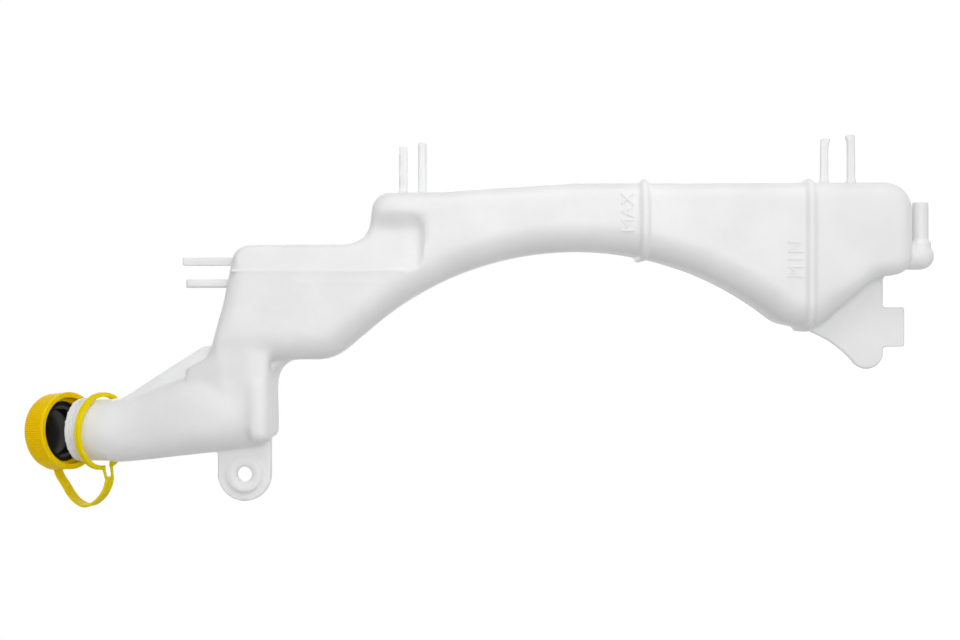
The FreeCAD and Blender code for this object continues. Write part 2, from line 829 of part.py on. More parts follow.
down = Rotation(Vector(0, 1, 0), 180)
towards_x = Rotation(Vector(0, 1, 0), 90)
elbow_centre = Vector(size("nipple_x"), 0, size("nipple_z"))
stub_root = Vector(size("nipple_x"), 0, size("foot_z") + 2 * size("wall"))
stub = rod("stub", "Sizes.elbow_radius", "Sizes.foot_z - Sizes.nipple_z + 2 * Sizes.wall",
           Placement(stub_root, down))
stub_bore = rod("stub_bore", "Sizes.nipple_bore", "Sizes.foot_z - Sizes.nipple_z + 2 * Sizes.wall",
                Placement(stub_root, down))
spigot = rod("spigot", "Sizes.nipple_radius", "Sizes.nipple_reach - Sizes.nipple_x",
             Placement(elbow_centre, towards_x))
spigot_bore = rod("spigot_bore", "Sizes.nipple_bore", "Sizes.nipple_reach - Sizes.nipple_x + Sizes.wall",
                  Placement(elbow_centre, towards_x))
collar = rod("collar", "Sizes.collar_radius", "Sizes.elbow_radius + Sizes.collar_stop",
             Placement(elbow_centre, towards_x))
elbow = doc.addObject("Part::Sphere", "elbow")
elbow.setExpression("Radius", "Sizes.elbow_radius")
elbow.Placement.Base = elbow_centre
doc.recompute()

# The tank, moulded in one piece
body_of_tank = fuse("tank_body", [sunk_chamber, filler_box, flare, funnel_shell, neck, web, ear, boss, tab,
                                  stub, elbow, collar, spigot] + level_ribs + fingers)
space_in_tank = fuse("tank_space", [sunk_space, filler_box_space, funnel_space, neck_bore,
                                    stub_bore, spigot_bore, bolt_hole])
tank = cut("tank", body_of_tank, space_in_tank)

# Cap, turned about its own axis with its open side at the origin
cap_turn = Rotation(Vector(1, 0, 0), -size("cap_yaw")) * Rotation(Vector(0, 1, 0), -size("cap_pitch"))
cap_place = Placement(Vector(size("cap_x"), size("cap_y"), size("cap_z")), cap_turn)
bore_depth = "Sizes.cap_height - Sizes.cap_top"
snap_top = "Sizes.snap_height + Sizes.snap_width"
snap_slope = "Sizes.snap_height - (Sizes.cap_bore - Sizes.snap_radius) / 2"
knob_neck = "Sizes.cap_height + Sizes.strap_thick + 2 * Sizes.eye_clearance"
knob_end = knob_neck + " + Sizes.knob_head_thick"
cap_shell = turned_body("cap_shell", [
    ("Sizes.cap_bore", "0"),
    ("Sizes.cap_rim_radius", "0"),
    ("Sizes.cap_rim_radius", "Sizes.cap_rim_width"),
    ("Sizes.cap_radius", "Sizes.cap_rim_width"),
    ("Sizes.cap_radius", "Sizes.cap_height - Sizes.cap_round"),
    ("Sizes.cap_radius - 0.3 * Sizes.cap_round", "Sizes.cap_height - 0.3 * Sizes.cap_round"),
    ("Sizes.cap_radius - Sizes.cap_round", "Sizes.cap_height"),
    ("Sizes.knob_radius", "Sizes.cap_height"),
    ("Sizes.knob_radius", knob_neck),
    ("Sizes.knob_head", knob_neck),
    ("Sizes.knob_head", knob_end),
    ("0", knob_end),
    ("0", bore_depth),
    ("Sizes.cap_bore", bore_depth),
    ("Sizes.cap_bore", snap_top),
    ("Sizes.snap_radius", snap_top),
    ("Sizes.snap_radius", "Sizes.snap_height"),
    ("Sizes.cap_bore", snap_slope),
], cap_place)

flange_front = bore_depth + " - Sizes.insert_thick"
plug_front = flange_front + " - Sizes.plug_height"
cap_insert = turned_body("cap_insert", [
    ("0", bore_depth),
    ("0", flange_front),
    ("Sizes.plug_radius - Sizes.plug_wall", flange_front),
    ("Sizes.plug_radius - Sizes.plug_wall", plug_front),
    ("Sizes.plug_radius", plug_front),
    ("Sizes.plug_radius", flange_front),
    ("Sizes.cap_bore - Sizes.insert_fit", flange_front),
    ("Sizes.cap_bore - Sizes.insert_fit", bore_depth),
], cap_place)
cap_seal = turned_body("cap_seal", [
    ("Sizes.plug_radius + Sizes.insert_fit", flange_front + " - Sizes.seal_thick"),
    ("Sizes.cap_bore - 5 * Sizes.insert_fit", flange_front + " - Sizes.seal_thick"),
    ("Sizes.cap_bore - 5 * Sizes.insert_fit", flange_front),
    ("Sizes.plug_radius + Sizes.insert_fit", flange_front),
], cap_place)

# Tether: a ring that turns on the neck, a strap, and an eye that turns on the cap's knob
ring_turn = Rotation(Vector(1, 0, 0), -size("ring_tilt"))
ring_x, ring_y, ring_z = [ring_turn.multVec(axis) for axis in
                          (Vector(1, 0, 0), Vector(0, 1, 0), Vector(0, 0, 1))]
ring_centre = mouth - neck_axis * size("ring_back") - Vector(size("ring_drop"), 0, 0)
cap_x, cap_y, cap_z = [cap_turn.multVec(axis) for axis in
                       (Vector(1, 0, 0), Vector(0, 1, 0), Vector(0, 0, 1))]
eye_height = size("cap_height") + size("eye_clearance") + size("strap_thick") / 2
eye_centre = cap_place.Base + cap_z * eye_height
strap_root = ring_centre + ring_y * size("root_shift")
reach = eye_centre - strap_root
strap_run = (reach - ring_x * reach.dot(ring_x)).normalize()
strap_side = strap_run.cross(ring_x)


def on_strap(run, drop, side=0):
    """Gives a point by its run towards the cap, its drop and its place across the strap."""
    return strap_root + strap_run * run - ring_x * drop + strap_side * side


def ring_band(label, inner, outer, width, place):
    """Makes a flat ring about its own middle."""
    band = Part.makeCylinder(outer, width, Vector(0, 0, -width / 2))
    hole = Part.makeCylinder(inner, 2 * width, Vector(0, 0, -width))
    shape = band.cut(hole)
    shape.Placement = place
    return code_shape(label, shape)


def flat_piece(label, corners, normal, thickness):
    """Makes a flat piece of a thickness about the plane of its corners."""
    face = Part.Face(Part.makePolygon(corners + corners[:1]))
    face.translate(normal * (-thickness / 2))
    return code_shape(label, face.extrude(normal * thickness))


ring = ring_band("tether_ring", size("ring_bore"), size("ring_bore") + size("ring_thick"),
                 size("ring_width"), Placement(ring_centre, ring_turn))
eye = ring_band("tether_eye", size("knob_radius") + size("eye_clearance"), size("eye_radius"),
                size("strap_thick"), Placement(eye_centre, cap_turn))

back_edge = eye_centre - cap_x * size("cap_radius") + cap_z * size("strap_lift") - strap_root
edge_run = back_edge.dot(strap_run)
edge_drop = -back_edge.dot(ring_x)
path_points = [on_strap(size("strap_%d_run" % i), size("strap_%d_drop" % i)) for i in range(2, 9)]
path_points += [on_strap(edge_run + size("strap_%d_run" % i), edge_drop + size("strap_%d_drop" % i))
                for i in (9, 10)]
for distance in (size("cap_radius") - size("cap_round"), 2 * size("eye_radius"),
                 size("eye_radius") - size("strap_thick")):
    in_plane = eye_centre - cap_x * distance + cap_z * size("strap_lift")
    across = (in_plane - strap_root).dot(strap_side)
    path_points.append(in_plane - strap_side * across)
path = Part.BSplineCurve()
path.interpolate(path_points)
steps = 18
near_side = []
far_side = []
for i in range(steps + 1):
    along = path.FirstParameter + (path.LastParameter - path.FirstParameter) * i / steps
    half_thick = path.tangent(along)[0].cross(strap_side).normalize() * (size("strap_thick") / 2)
    near_side.append(path.value(along) - half_thick)
    far_side.append(path.value(along) + half_thick)
strap_edges = [Part.makeLine(near_side[0], far_side[0]), Part.makeLine(near_side[-1], far_side[-1])]
for side in (near_side, far_side):
    for i in range(0, steps, 2):
        strap_edges.append(Part.Arc(side[i], side[i + 1], side[i + 2]).toShape())
strap_face = Part.Face(Part.Wire(Part.__sortEdges__(strap_edges)))
strap_face.translate(strap_side * (-size("strap_width") / 2))
strap = code_shape("tether_strap", strap_face.extrude(strap_side * size("strap_width")))

root_low = (size("strap_2_run"), size("strap_2_drop"))
root_high = (size("strap_1_run"), size("strap_1_drop"))
half_root = size("root_width") / 2
half_strap = size("strap_width") / 2
root_line = on_strap(*root_low) - on_strap(*root_high)
root_normal = root_line.cross(strap_side).normalize()
root = flat_piece("tether_root", [
    on_strap(*root_high, side=-half_root), on_strap(*root_high, side=half_root),
    on_strap(*root_low, side=half_strap), on_strap(*root_low, side=-half_strap),
], root_normal, size("strap_thick"))
half_slot = size("root_slot") / 2
slot_top = on_strap(*root_high) - root_line * 0.5
slot_end = on_strap(*root_low) - root_line * 0.2
slot = flat_piece("tether_slot", [
    slot_top - strap_side * half_slot, slot_top + strap_side * half_slot,
    slot_end + strap_side * (half_slot * 0.75), slot_end - strap_side * (half_slot * 0.75),
], root_normal, 3 * size("ring_width"))
doc.recompute()
cap_tether = cut("cap_tether", fuse("tether_body", [ring, root, strap, eye]), slot)

parts = {"tank": tank, "cap_shell": cap_shell, "cap_insert": cap_insert, "cap_seal": cap_seal,
         "cap_tether": cap_tether}

# Every feature has to be sound before anything is written
for thing in doc.Objects:
    if "Invalid" in thing.State or "Error" in thing.State:
        raise RuntimeError("the feature %s did not build" % thing.Label)
for label, thing in parts.items():
    if thing.Shape.isNull() or not thing.Shape.isValid() or len(thing.Shape.Solids) != 1:
        raise RuntimeError("the part %s is not one sound solid" % label)

os.makedirs("parts", exist_ok=True)
for label, thing in parts.items():
    thing.Shape.Solids[0].exportStep("parts/%s.step" % label)
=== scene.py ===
import math

import bpy
from mathutils import Euler, Matrix, Vector


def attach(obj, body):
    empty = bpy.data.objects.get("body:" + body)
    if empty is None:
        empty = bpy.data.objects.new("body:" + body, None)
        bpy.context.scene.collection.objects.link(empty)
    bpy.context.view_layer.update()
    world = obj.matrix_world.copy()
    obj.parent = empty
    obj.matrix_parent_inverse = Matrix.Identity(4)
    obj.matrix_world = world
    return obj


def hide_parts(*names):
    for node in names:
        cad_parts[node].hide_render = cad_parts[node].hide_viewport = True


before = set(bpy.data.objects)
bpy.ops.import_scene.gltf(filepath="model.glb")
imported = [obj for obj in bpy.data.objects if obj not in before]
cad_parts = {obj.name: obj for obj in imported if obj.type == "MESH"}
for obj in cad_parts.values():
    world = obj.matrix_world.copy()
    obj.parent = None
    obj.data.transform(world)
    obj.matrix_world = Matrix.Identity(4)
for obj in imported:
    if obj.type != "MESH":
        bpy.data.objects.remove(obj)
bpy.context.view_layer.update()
print("frame loaded")

weld = 1e-6  # points closer than this are one point


# Small helpers: one object active, edit mode, vertices or faces picked by their place.
def activate(piece):
    if bpy.context.object and bpy.context.object.mode == "EDIT":
        bpy.ops.object.mode_set(mode="OBJECT")
    bpy.ops.object.select_all(action="DESELECT")
    piece.select_set(True)
    bpy.context.view_layer.objects.active = piece


def editMode(on=True):
    bpy.ops.object.mode_set(mode="EDIT" if on else "OBJECT")


def editAll():
    editMode()
    bpy.ops.mesh.select_all(action="SELECT")


def selectWhere(piece, kind, test):
    editMode()
    bpy.ops.mesh.select_mode(type="VERT" if kind == "vertices" else "FACE")
    bpy.ops.mesh.select_all(action="DESELECT")
    editMode(False)
    for item in getattr(piece.data, kind):
        item.select = test(item)
    editMode()


def newObject(name, data):
    piece = bpy.data.objects.new(name, data)
    bpy.context.scene.collection.objects.link(piece)
    return piece


def copyOfNode(node, name):
    piece = newObject(name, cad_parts[node].data.copy())
    activate(piece)
    editAll()
    bpy.ops.mesh.remove_doubles(threshold=weld)
    editMode(False)
    return piece


def addModifier(piece, kind, **values):
    modifier = piece.modifiers.new(kind.title(), kind)
    for key, value in values.items():
        setattr(modifier, key, value)
    activate(piece)
    bpy.ops.object.modifier_apply(modifier=modifier.name)


def thinTo(piece, triangles):
    addModifier(piece, "DECIMATE", ratio=min(1, triangles / (2 * len(piece.data.polygons))))


def joinInto(piece, others):
    activate(piece)
    for other in others:
        other.select_set(True)
    bpy.ops.object.join()


def place(piece, matrix):
    piece.matrix_world = matrix
    activate(piece)
    bpy.ops.object.transform_apply(location=True, rotation=True, scale=True)


def dress(piece, material, sharpAngle=None):
    if sharpAngle:
        bpy.ops.object.shade_smooth_by_angle(angle=math.radians(sharpAngle))
    piece.data.materials.clear()
    piece.data.materials.append(material)


def turned(name, profile, steps):
    bpy.ops.object.select_all(action="DESELECT")
    radius, height = profile[0]
    bpy.ops.mesh.primitive_circle_add(vertices=steps, radius=radius, location=(0, 0, height))
    piece = bpy.context.object
    piece.name = name
    bpy.ops.object.transform_apply(location=True, rotation=True, scale=True)
    editMode()
    bpy.ops.mesh.select_mode(type="EDGE")
    bpy.ops.mesh.select_all(action="SELECT")
    for nextRadius, nextHeight in profile[1:]:
        bpy.ops.mesh.extrude_region_move(
            TRANSFORM_OT_translate={"value": (0, 0, nextHeight - height)})
        scale = nextRadius / radius
        bpy.ops.transform.resize(value=(scale, scale, 1), center_override=(0, 0, nextHeight))
        radius, height = nextRadius, nextHeight
    bpy.ops.mesh.select_all(action="SELECT")
    bpy.ops.mesh.fill_holes(sides=0)
    bpy.ops.mesh.select_all(action="SELECT")
    bpy.ops.mesh.normals_make_consistent(inside=False)
    editMode(False)
    return piece


# A block with round edges. Each shift names the corners to move by their sides in X, Y and Z.
def roundedBlock(name, low, high, rounding, shifts=()):
    bpy.ops.object.select_all(action="DESELECT")
    bpy.ops.mesh.primitive_cube_add(size=1)
    piece = bpy.context.object
    piece.name = name
    middle = (Vector(low) + Vector(high)) / 2
    spans = Vector(high) - Vector(low)
    place(piece, Matrix.Translation(middle) @ Matrix.Diagonal((*spans, 1)))
    for sides, shift in shifts:
        selectWhere(piece, "vertices", lambda vertex: all(
            (vertex.co[axis] - middle[axis]) * side > 0 for axis, side in enumerate(sides) if side))
        bpy.ops.transform.translate(value=shift)
        editMode(False)
    editAll()
    bpy.ops.mesh.bevel(offset=rounding, segments=4, affect="EDGES")
    editMode(False)
    return piece


# Materials, all procedural on object coordinates.
def newMaterial(name, color, **sockets):
    material = bpy.data.materials.new(name)
    material.use_nodes = True
    shader = material.node_tree.nodes["Principled BSDF"]
    shader.inputs["Base Color"].default_value = (*color, 1)
    for socket, value in sockets.items():
        shader.inputs[socket.replace("_", " ")].default_value = value
    return material


def noise(material, scale, **values):
    tree = material.node_tree
    coordinates = tree.nodes.new("ShaderNodeTexCoord")
    node = tree.nodes.new("ShaderNodeTexNoise")
    tree.links.new(coordinates.outputs["Object"], node.inputs["Vector"])
    node.inputs["Scale"].default_value = scale
    for key, value in values.items():
        node.inputs[key].default_value = value
    return node


def addBump(material, layers):
    tree = material.node_tree
    shader = tree.nodes["Principled BSDF"]
    previous = None
    for source, distance in layers:
        bump = tree.nodes.new("ShaderNodeBump")
        bump.inputs["Distance"].default_value = distance
        tree.links.new(source.outputs[0], bump.inputs["Height"])
        if previous:
            tree.links.new(previous.outputs["Normal"], bump.inputs["Normal"])
        previous = bump
    tree.links.new(previous.outputs["Normal"], shader.inputs["Normal"])


def varyColor(material, source, low, high):
    tree = material.node_tree
    ramp = tree.nodes.new("ShaderNodeValToRGB")
    for element, position, color in zip(ramp.color_ramp.elements, (0.3, 0.7), (low, high)):
        element.position = position
        element.color = (*color, 1)
    tree.links.new(source.outputs[0], ramp.inputs["Fac"])
    tree.links.new(ramp.outputs["Color"],
                   tree.nodes["Principled BSDF"].inputs["Base Color"])


def varyRoughness(material, source, low, high):
    tree = material.node_tree
    spread = tree.nodes.new("ShaderNodeMapRange")
    spread.inputs["To Min"].default_value = low
    spread.inputs["To Max"].default_value = high
    tree.links.new(source.outputs[0], spread.inputs["Value"])
    tree.links.new(spread.outputs["Result"],
                   tree.nodes["Principled BSDF"].inputs["Roughness"])


finishes = {
    "tankLow": (0.80, 0.80, 0.805), "tankHigh": (0.86, 0.86, 0.865),
    "capLow": (0.96, 0.62, 0.0003), "capHigh": (1.0, 0.7, 0.0003),
    "tetherLow": (0.82, 0.65, 0.0005), "tetherHigh": (0.88, 0.71, 0.0005),
    "black": (0.012, 0.011, 0.011), "rubber": (0.02, 0.02, 0.02),
}
tankPlastic = newMaterial("tankPlastic", finishes["tankHigh"], Roughness=0.45,
                          Subsurface_Weight=0.15, Subsurface_Scale=0.004,
                          Subsurface_Radius=(1.0, 1.0, 0.95), IOR=1.5)
cloud = noise(tankPlastic, 26, Detail=3, Roughness=0.5)
grain = noise(tankPlastic, 1100, Detail=2)
ripple = noise(tankPlastic, 90, Detail=2)
varyColor(tankPlastic, cloud, finishes["tankLow"], finishes["tankHigh"])
varyRoughness(tankPlastic, ripple, 0.36, 0.52)
addBump(tankPlastic, [(ripple, 0.00025), (grain, 0.00006)])

capPlastic = newMaterial("capPlastic", finishes["capHigh"], Roughness=0.42, IOR=1.5,
                         Specular_IOR_Level=0.06,
                         Subsurface_Weight=0.25, Subsurface_Scale=0.004,
                         Subsurface_Radius=(1.0, 0.45, 0.02))
capCloud = noise(capPlastic, 70, Detail=2)
capGrain = noise(capPlastic, 1500, Detail=2)
varyColor(capPlastic, capCloud, finishes["capLow"], finishes["capHigh"])
addBump(capPlastic, [(capGrain, 0.00003)])

tetherPlastic = newMaterial("tetherPlastic", finishes["tetherHigh"], Roughness=0.45, IOR=1.5,
                            Specular_IOR_Level=0.05,
                            Subsurface_Weight=0.08, Subsurface_Scale=0.002,
                            Subsurface_Radius=(1.0, 0.7, 0.1))
tetherCloud = noise(tetherPlastic, 90, Detail=2)
tetherGrain = noise(tetherPlastic, 1500, Detail=2)
varyColor(tetherPlastic, tetherCloud, finishes["tetherLow"], finishes["tetherHigh"])
addBump(tetherPlastic, [(tetherGrain, 0.00004)])

blackPlastic = newMaterial("blackPlastic", finishes["black"], Roughness=0.16, IOR=1.5,
                           Specular_IOR_Level=0.3)
blackSmear = noise(blackPlastic, 120, Detail=3)
varyRoughness(blackPlastic, blackSmear, 0.1, 0.26)
addBump(blackPlastic, [(blackSmear, 0.00008)])

sealRubber = newMaterial("sealRubber", finishes["rubber"], Roughness=0.75)
sealGrain = noise(sealRubber, 900, Detail=3)
addBump(sealRubber, [(sealGrain, 0.00006)])
print("materials made")

# Tank: the moulded shell with its seam, softened as blow moulding leaves it.
tank = {
    "voxel": 0.001, "seam": 0.00055, "soften": 3, "blend": 100, "triangles": 180000,
    "sharpAngle": 50, "softPlate": 0.0045, "fade": 0.007,
    "softZones": {  # low X, high X, low Z, high Z, low Y, high Y
        "shoulder": (0.044, 0.104, -0.044, 0.06, -0.05, 0.06),
        "funnel": (-0.01, 0.06, -0.0135, 0.1, -0.05, 0.06),
        "recess": (0.15, 0.186, -0.132, -0.074, -0.05, -0.0045),
    },
    "neckAxisX": 0.0283, "neckBore": 0.0199, "neckFoot": 0.086, "funnelFoot": 0.0,
    "fills": {  # low corner, high corner, rounding, corners to shift
        "frontShoulder": ((0.0235, -0.0252, -0.009), (0.094, -0.014, 0.017), 0.002, [
            ((-1, -1, 0), (0, 0.004, 0)), ((-1, 0, 1), (0.03, 0, 0)), ((0, -1, 1), (0, 0.001, 0))]),
        "frontCorner": ((0.056, -0.0245, 0.01), (0.084, -0.001, 0.038), 0.002, [
            ((-1, -1, 0), (0, 0.0015, 0)), ((0, -1, 1), (0, 0.0125, 0)), ((1, 0, 1), (-0.014, 0, 0))]),
        "rearShoulder": ((0.028, 0.028, -0.009), (0.094, 0.0396, 0.017), 0.002, [
            ((-1, 1, 0), (0, -0.0008, 0)), ((-1, 0, 1), (0.03, 0, 0)), ((0, 1, 1), (0, -0.001, 0))]),
        "rearCorner": ((0.056, 0.001, 0.01), (0.084, 0.039, 0.038), 0.002, [
            ((-1, 1, 0), (0, -0.0015, 0)), ((0, 1, 1), (0, -0.0125, 0)), ((1, 0, 1), (-0.014, 0, 0))]),
        "frontFoot": ((0.056, -0.0228, -0.0185), (0.09, -0.012, -0.006), 0.002, []),
        "rearFoot": ((0.056, 0.026, -0.0185), (0.09, 0.0368, -0.006), 0.002, []),
        "earSide": ((0.0193, -0.0048, -0.0148), (0.0245, 0.0243, -0.0095), 0.0012, [
            ((-1, 0, -1), (0.0022, 0, 0))]),
        "recessEnd": ((0.158, -0.0232, -0.0985), (0.1765, -0.012, -0.0865), 0.001, [
            ((0, -1, -1), (0, 0.0052, 0)), ((-1, -1, 0), (0, 0.0045, 0))]),
    },
    "creases": [  # thin raised lines left by the mould: low corner, high corner
        ((0.1338, -0.0264, -0.108), (0.1352, -0.02, 0.006)),
        ((0.1262, -0.02625, -0.094), (0.1272, -0.02, -0.038))],
    "creaseRounding": 0.0003,
    "neckBeads": {"mouth": (0.0283, 0.019, 0.1144), "tilt": 16.5, "back": (0.004, 0.0062),
                  "radius": 0.0209, "thick": 0.0006},
}


def moldSeam(shell):
    seam = newObject("moldSeam", shell.data.copy())
    activate(seam)
    editAll()
    bpy.ops.mesh.bisect(plane_co=(0, 0, 0), plane_no=(0, 1, 0), clear_inner=True, clear_outer=True)
    selectWhere(seam, "vertices", lambda vertex: vertex.co.z > tank["neckFoot"] or (
        vertex.co.z > tank["funnelFoot"]
        and abs(vertex.co.x - tank["neckAxisX"]) < tank["neckBore"]))
    bpy.ops.mesh.delete(type="VERT")
    editMode(False)
    bpy.ops.object.convert(target="CURVE")
    seam = bpy.context.object
    seam.data.bevel_depth = tank["seam"]
    seam.data.bevel_resolution = 1
    seam.data.use_fill_caps = True
    bpy.ops.object.convert(target="MESH")
    return bpy.context.object


def neckBead(neckPlace, back):
    bpy.ops.object.select_all(action="DESELECT")
    bpy.ops.mesh.primitive_torus_add(
        major_radius=tank["neckBeads"]["radius"], minor_radius=tank["neckBeads"]["thick"],
        major_segments=96, minor_segments=10)
    bead = bpy.context.object
    bead.name = "neckBead"
    place(bead, neckPlace @ Matrix.Translation((0, 0, -back)))
    return bead


# How much the smoothing takes hold: none on the thin plates, all well inside a zone.
def softness(spot):
    if abs(spot.y) < tank["softPlate"]:
        return 0
    reach = max(min(spot.x - lowX, highX - spot.x, spot.z - lowZ, highZ - spot.z,
                    spot.y - lowY, highY - spot.y)
                for lowX, highX, lowZ, highZ, lowY, highY in tank["softZones"].values())
    return max(0, min(1, reach / tank["fade"]))


def blendZones(shell):
    soft = shell.vertex_groups.new(name="soft")
    for vertex in shell.data.vertices:
        weight = softness(vertex.co)
        if weight:
            soft.add([vertex.index], weight, "REPLACE")
    addModifier(shell, "SMOOTH", factor=0.5, iterations=tank["blend"], vertex_group="soft")


tankShell = copyOfNode("tank", "tankShell")
additions = [moldSeam(tankShell)]
additions += [roundedBlock(name, *fill) for name, fill in tank["fills"].items()]
additions += [roundedBlock("crease", *crease, tank["creaseRounding"]) for crease in tank["creases"]]
joinInto(tankShell, additions)
addModifier(tankShell, "REMESH", mode="VOXEL", voxel_size=tank["voxel"])
blendZones(tankShell)
addModifier(tankShell, "SMOOTH", factor=0.5, iterations=tank["soften"])
thinTo(tankShell, tank["triangles"])
neckPlace = (Matrix.Translation(tank["neckBeads"]["mouth"])
             @ Matrix.Rotation(math.radians(-tank["neckBeads"]["tilt"]), 4, "X"))
joinInto(tankShell, [neckBead(neckPlace, back) for back in tank["neckBeads"]["back"]])
dress(tankShell, tankPlastic, tank["sharpAngle"])
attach(tankShell, "tank")
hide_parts("tank")
print("tank triangles", len(tankShell.data.polygons))

# Level marks: raised letters beside each level bead.
marks = {
    "face": -0.026, "raised": 0.0004, "sunk": 0.0012, "size": 0.01, "edge": 0.0001,
    "MAX": {"x": (0.1605, 0.1859), "z": (-0.257, -0.2486), "space": 1.0},
    "MIN": {"x": (0.1305, 0.154), "z": (-0.3672, -0.3574), "space": 1.35},
}


def levelMark(word):
    bpy.ops.object.select_all(action="DESELECT")
    bpy.ops.object.text_add()
    text = bpy.context.object
    text.data.body = word
    text.data.size = marks["size"]
    text.data.extrude = (marks["raised"] + marks["sunk"]) / 2
    text.data.bevel_depth = marks["edge"]
    text.data.bevel_resolution = 1
    text.data.resolution_u = 4
    text.data.space_character = marks[word]["space"]
    bpy.ops.object.convert(target="MESH")
    text = bpy.context.object
    text.name = "levelMark" + word.title()
    low, high = marks[word]["x"], marks[word]["z"]
    corners = [Vector(corner) for corner in text.bound_box]
    left, right = min(c.x for c in corners), max(c.x for c in corners)
    bottom, top = min(c.y for c in corners), max(c.y for c in corners)
    shrink = Matrix.Diagonal(
        ((low[1] - low[0]) / (right - left), (high[1] - high[0]) / (top - bottom), 1, 1))
    upright = Euler((math.radians(90), 0, 0)).to_matrix().to_4x4()
    spot = Vector((low[0], marks["face"] + (marks["sunk"] - marks["raised"]) / 2, high[0]))
    place(text, Matrix.Translation(spot) @ upright @ shrink
          @ Matrix.Translation((-left, -bottom, 0)))
    editAll()
    bpy.ops.mesh.remove_doubles(threshold=weld)
    bpy.ops.mesh.normals_make_consistent(inside=False)
    editMode(False)
    dress(text, tankPlastic)
    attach(text, "tank")


for word in ("MAX", "MIN"):
    levelMark(word)
print("level marks made")

# Cap: turned shell with a finely ribbed skirt.
cap = {
    "centre": (0.0273, 0.024, 0.1217), "yaw": 32.7, "pitch": 5, "ribs": 120,
    "ribGap": 0.00026, "ribHeight": 0.00045, "skirt": (0.0028, 0.0155), "skirtInside": 0.025,
    "upright": 0.1, "sharpAngle": 32,
    "profile": [  # radius, height above the open rim
        (0.0224, 0.0165), (0.0224, 0.0081), (0.0205, 0.0081), (0.0205, 0.0067),
        (0.0224, 0.0057), (0.0224, 0.0008), (0.0229, 0.0002), (0.0258, 0), (0.0263, 0.0005),
        (0.0263, 0.0022), (0.026, 0.0026), (0.0257, 0.0028), (0.0257, 0.0155),
        (0.0256, 0.0165), (0.02525, 0.0176), (0.0246, 0.0184), (0.0237, 0.0191),
        (0.0225, 0.0195), (0.0212, 0.0195), (0.0209, 0.0192), (0.0121, 0.0192),
        (0.0118, 0.0195), (0.0047, 0.0195), (0.0047, 0.0219), (0.0058, 0.0219),
        (0.0061, 0.0222), (0.0061, 0.023), (0.0056, 0.0234)],
}


def onSkirt(face):
    low, high = cap["skirt"]
    return (abs(face.normal.z) < cap["upright"] and low < face.center.z < high
            and face.center.xy.length > cap["skirtInside"]
            and face.center.xy.normalized().dot(face.normal.xy) > 0)


capPlace = (Matrix.Translation(cap["centre"])
            @ Matrix.Rotation(math.radians(-cap["yaw"]), 4, "X")
            @ Matrix.Rotation(math.radians(-cap["pitch"]), 4, "Y"))
capShell = turned("capShell", cap["profile"], cap["ribs"])
selectWhere(capShell, "polygons", onSkirt)
bpy.ops.mesh.inset(use_individual=True, thickness=cap["ribGap"])
bpy.ops.transform.shrink_fatten(value=cap["ribHeight"])
editMode(False)
place(capShell, capPlace)
dress(capShell, capPlastic, cap["sharpAngle"])
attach(capShell, "cap")
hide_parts("cap_shell")
print("cap made")

# Tether: one flexible moulding with rounded edges.
tether = {
    "voxel": 0.0004, "soften": 4, "triangles": 60000, "sharpAngle": 60,
    "root": (0.0276, 0.01859, 0.09575), "run": (0, 0.357, 0.934), "keepRun": 0.0165,
    "eyeHeight": 0.0207, "eyeRim": 0.0096, "swing": 14, "lift": 0.0004,
    "halfWidth": 0.0044, "halfThick": 0.0009, "edge": 0.0003,
    "flat": (0.007, 0.026), "bendStart": (0.022, 0.03), "side": (0.1, 0.91, -0.4),
    "hang": [(-0.0106, 0.0375, 0.1283), (-0.0172, 0.0335, 0.1231), (-0.0219, 0.0287, 0.1168),
             (-0.0236, 0.0242, 0.1103), (-0.0216, 0.0217, 0.104)],
}


# The strap's own run from the cap's edge down to the ring's root, through listed points.
def hangingStrap(start, end):
    side = Vector(tether["side"]).normalized()
    across = side.cross(end - start).normalized()
    turn = Matrix((across.cross(side), across, side)).transposed().to_4x4()
    path = bpy.data.curves.new("strapPath", "CURVE")
    path.dimensions = "3D"
    path.twist_mode = "Z_UP"
    path.extrude = tether["halfWidth"] - tether["halfThick"]
    path.bevel_depth = tether["halfThick"]
    path.bevel_resolution = 2
    path.use_fill_caps = True
    spots = [start, end] + [Vector(spot) for spot in tether["hang"]]
    spline = path.splines.new("BEZIER")
    spline.bezier_points.add(len(spots) - 1)
    for point, spot in zip(spline.bezier_points, spots):
        point.co = turn.inverted() @ spot
        point.handle_left_type = point.handle_right_type = "AUTO"
    activate(newObject("strapPath", path))
    bpy.ops.object.convert(target="MESH")
    strap = bpy.context.object
    place(strap, turn)
    return strap


# The strap lies flat on the cap's back, a little to the side as in the photo, and then hangs.
def strapEnd():
    swing = math.radians(tether["swing"])
    away = Vector((-math.cos(swing), math.sin(swing), 0))
    height = tether["eyeHeight"] + tether["lift"]
    flat = roundedBlock(
        "strapFlat", (tether["flat"][0], -tether["halfWidth"], -tether["halfThick"]),
        (tether["flat"][1], tether["halfWidth"], tether["halfThick"]), tether["edge"])
    place(flat, capPlace @ Matrix.Translation((0, 0, height))
          @ Matrix.Rotation(math.pi - swing, 4, "Z"))
    start, end = [capPlace @ (away * reach + Vector((0, 0, height))) for reach in tether["bendStart"]]
    return [flat, hangingStrap(start, end)]


def onOwnStrap(vertex):
    run = (vertex.co - Vector(tether["root"])).dot(Vector(tether["run"]))
    return run > tether["keepRun"] and (capInverse @ vertex.co).xy.length > tether["eyeRim"]


